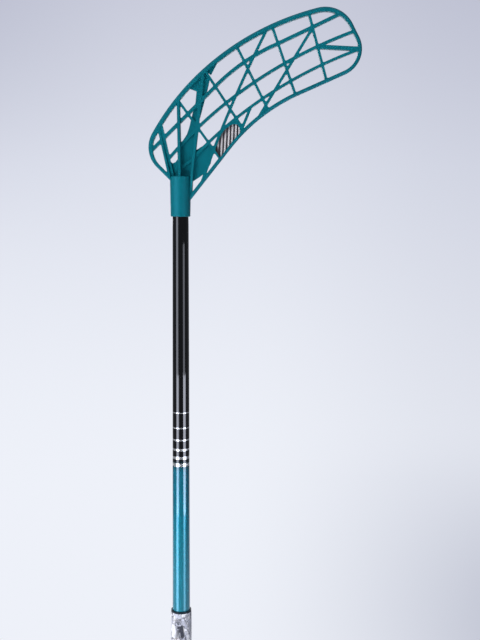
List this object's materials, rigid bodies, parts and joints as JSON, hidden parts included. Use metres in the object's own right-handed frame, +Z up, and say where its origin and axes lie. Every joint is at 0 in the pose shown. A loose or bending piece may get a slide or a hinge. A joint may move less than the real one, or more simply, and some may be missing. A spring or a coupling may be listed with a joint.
{
  "type": "floorball stick",
  "caption": "Floorball stick: a hooked lattice blade with a woven insert, glued by its socket onto a round tapering shaft that ends in a spiral-wound hand grip and a butt cap.",
  "frame": {"origin": "centre of the flat butt face at the lower end of the grip", "axes": "+Z up the shaft towards the blade, +X towards the blade's toe, -Y to the hollow side that the blade's hook bends to"},
  "size_m": [0.2603, 0.0392, 1.062],
  "materials": {
    "blade_plastic": "satin moulded",
    "woven_composite": "woven, clear coated",
    "glue": "set hot-melt glue",
    "lacquered_composite": "gloss lacquer, black fading to metallic teal",
    "adhesive_tape": "matt",
    "grip_band": "soft, marbled",
    "dark_band": "matt",
    "cap_rubber": "matt"
  },
  "bodies": {
    "root": {"blade": "blade_plastic", "carbon_insert": "woven_composite", "blade_adhesive": "glue", "shaft": "lacquered_composite", "grip_tape": "adhesive_tape", "grip_wrap": "grip_band", "grip_collar": "dark_band", "butt_cap": "cap_rubber"}
  },
  "joints": []
}
